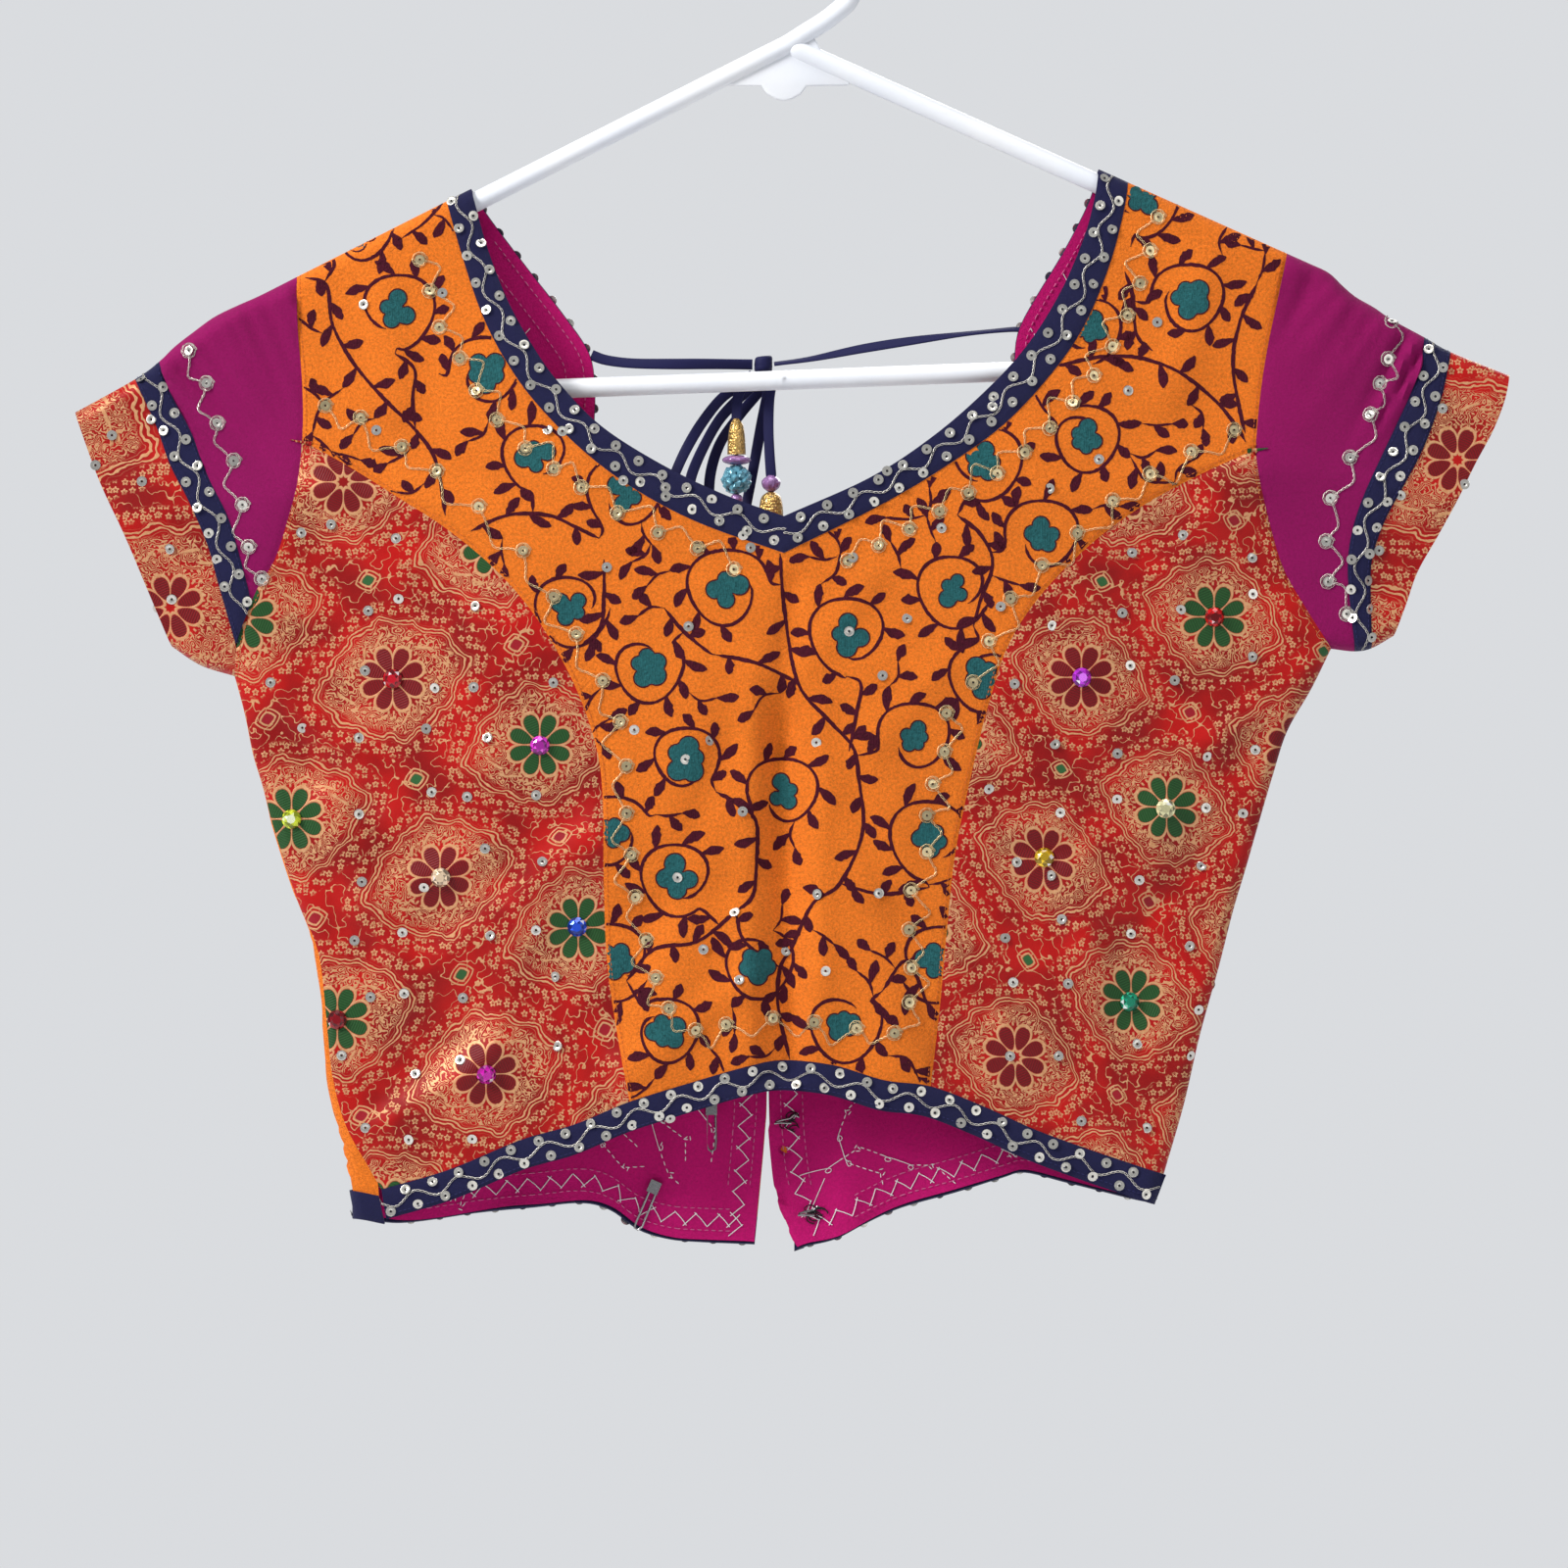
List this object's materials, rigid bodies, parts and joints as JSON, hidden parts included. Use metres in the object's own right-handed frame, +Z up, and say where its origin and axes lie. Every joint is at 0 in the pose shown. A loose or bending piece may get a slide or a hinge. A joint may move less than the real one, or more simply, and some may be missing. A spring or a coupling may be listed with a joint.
{
  "type": "choli blouse on a hanger",
  "caption": "Cropped choli blouse with a V neck, short banded sleeves, printed centre, brocade sides, open tied back and beaded tassels, hanging on a white plastic hanger.",
  "frame": {"origin": "inside top of the hanger's hook, where it rests on a rail", "axes": "+Z up, front of the blouse faces -Y, +X to the right of someone who looks at the front"},
  "size_m": [0.5555, 0.0396, 0.53],
  "materials": {
    "orange_print": "matt crepe with a maroon vine print and gold stitching",
    "brocade": "red satin brocade with cream-gold thread",
    "magenta": "soft satin",
    "lining": "plain cotton, matt",
    "navy": "matt silk, with silver chain stitch and sequins",
    "hanger": "moulded, satin",
    "metal": "bright wire",
    "gold_beads": "small seed beads",
    "glass_beads": "faceted beads",
    "crystal": "faceted crystal",
    "stone": "cut stones in mixed colours"
  },
  "bodies": {
    "root": {"back_hem_left": "navy", "back_hem_right": "navy", "back_left": "orange_print", "back_neck_left": "navy", "back_neck_right": "navy", "back_right": "orange_print", "bow_loop_left": "navy", "bow_loop_right": "navy", "front_centre": "orange_print", "front_side_left": "brocade", "front_side_right": "brocade", "gem_01": "stone", "gem_02": "stone", "gem_03": "stone", "gem_04": "stone", "gem_05": "stone", "gem_06": "stone", "gem_07": "stone", "gem_08": "stone", "gem_09": "stone", "gem_10": "stone", "gem_11": "stone", "gem_12": "stone", "hanger": "hanger", "hem_binding_front": "navy", "hook_lower": "metal", "hook_upper": "metal", "lining_left": "lining", "lining_right": "lining", "neck_binding_left": "navy", "neck_binding_right": "navy", "safety_pin_1": "metal", "safety_pin_2": "metal", "sleeve_band_left": "navy", "sleeve_band_right": "navy", "sleeve_cap_left": "magenta", "sleeve_cap_right": "magenta", "sleeve_cuff_left": "brocade", "sleeve_cuff_right": "brocade", "tassel_1_beads": "glass_beads", "tassel_1_cone": "gold_beads", "tassel_2_crystal": "crystal", "tassel_2_dome": "gold_beads", "tie_end_1": "navy", "tie_end_2": "navy", "tie_knot": "navy", "tie_span_left": "navy", "tie_span_right": "navy"}
  },
  "joints": []
}
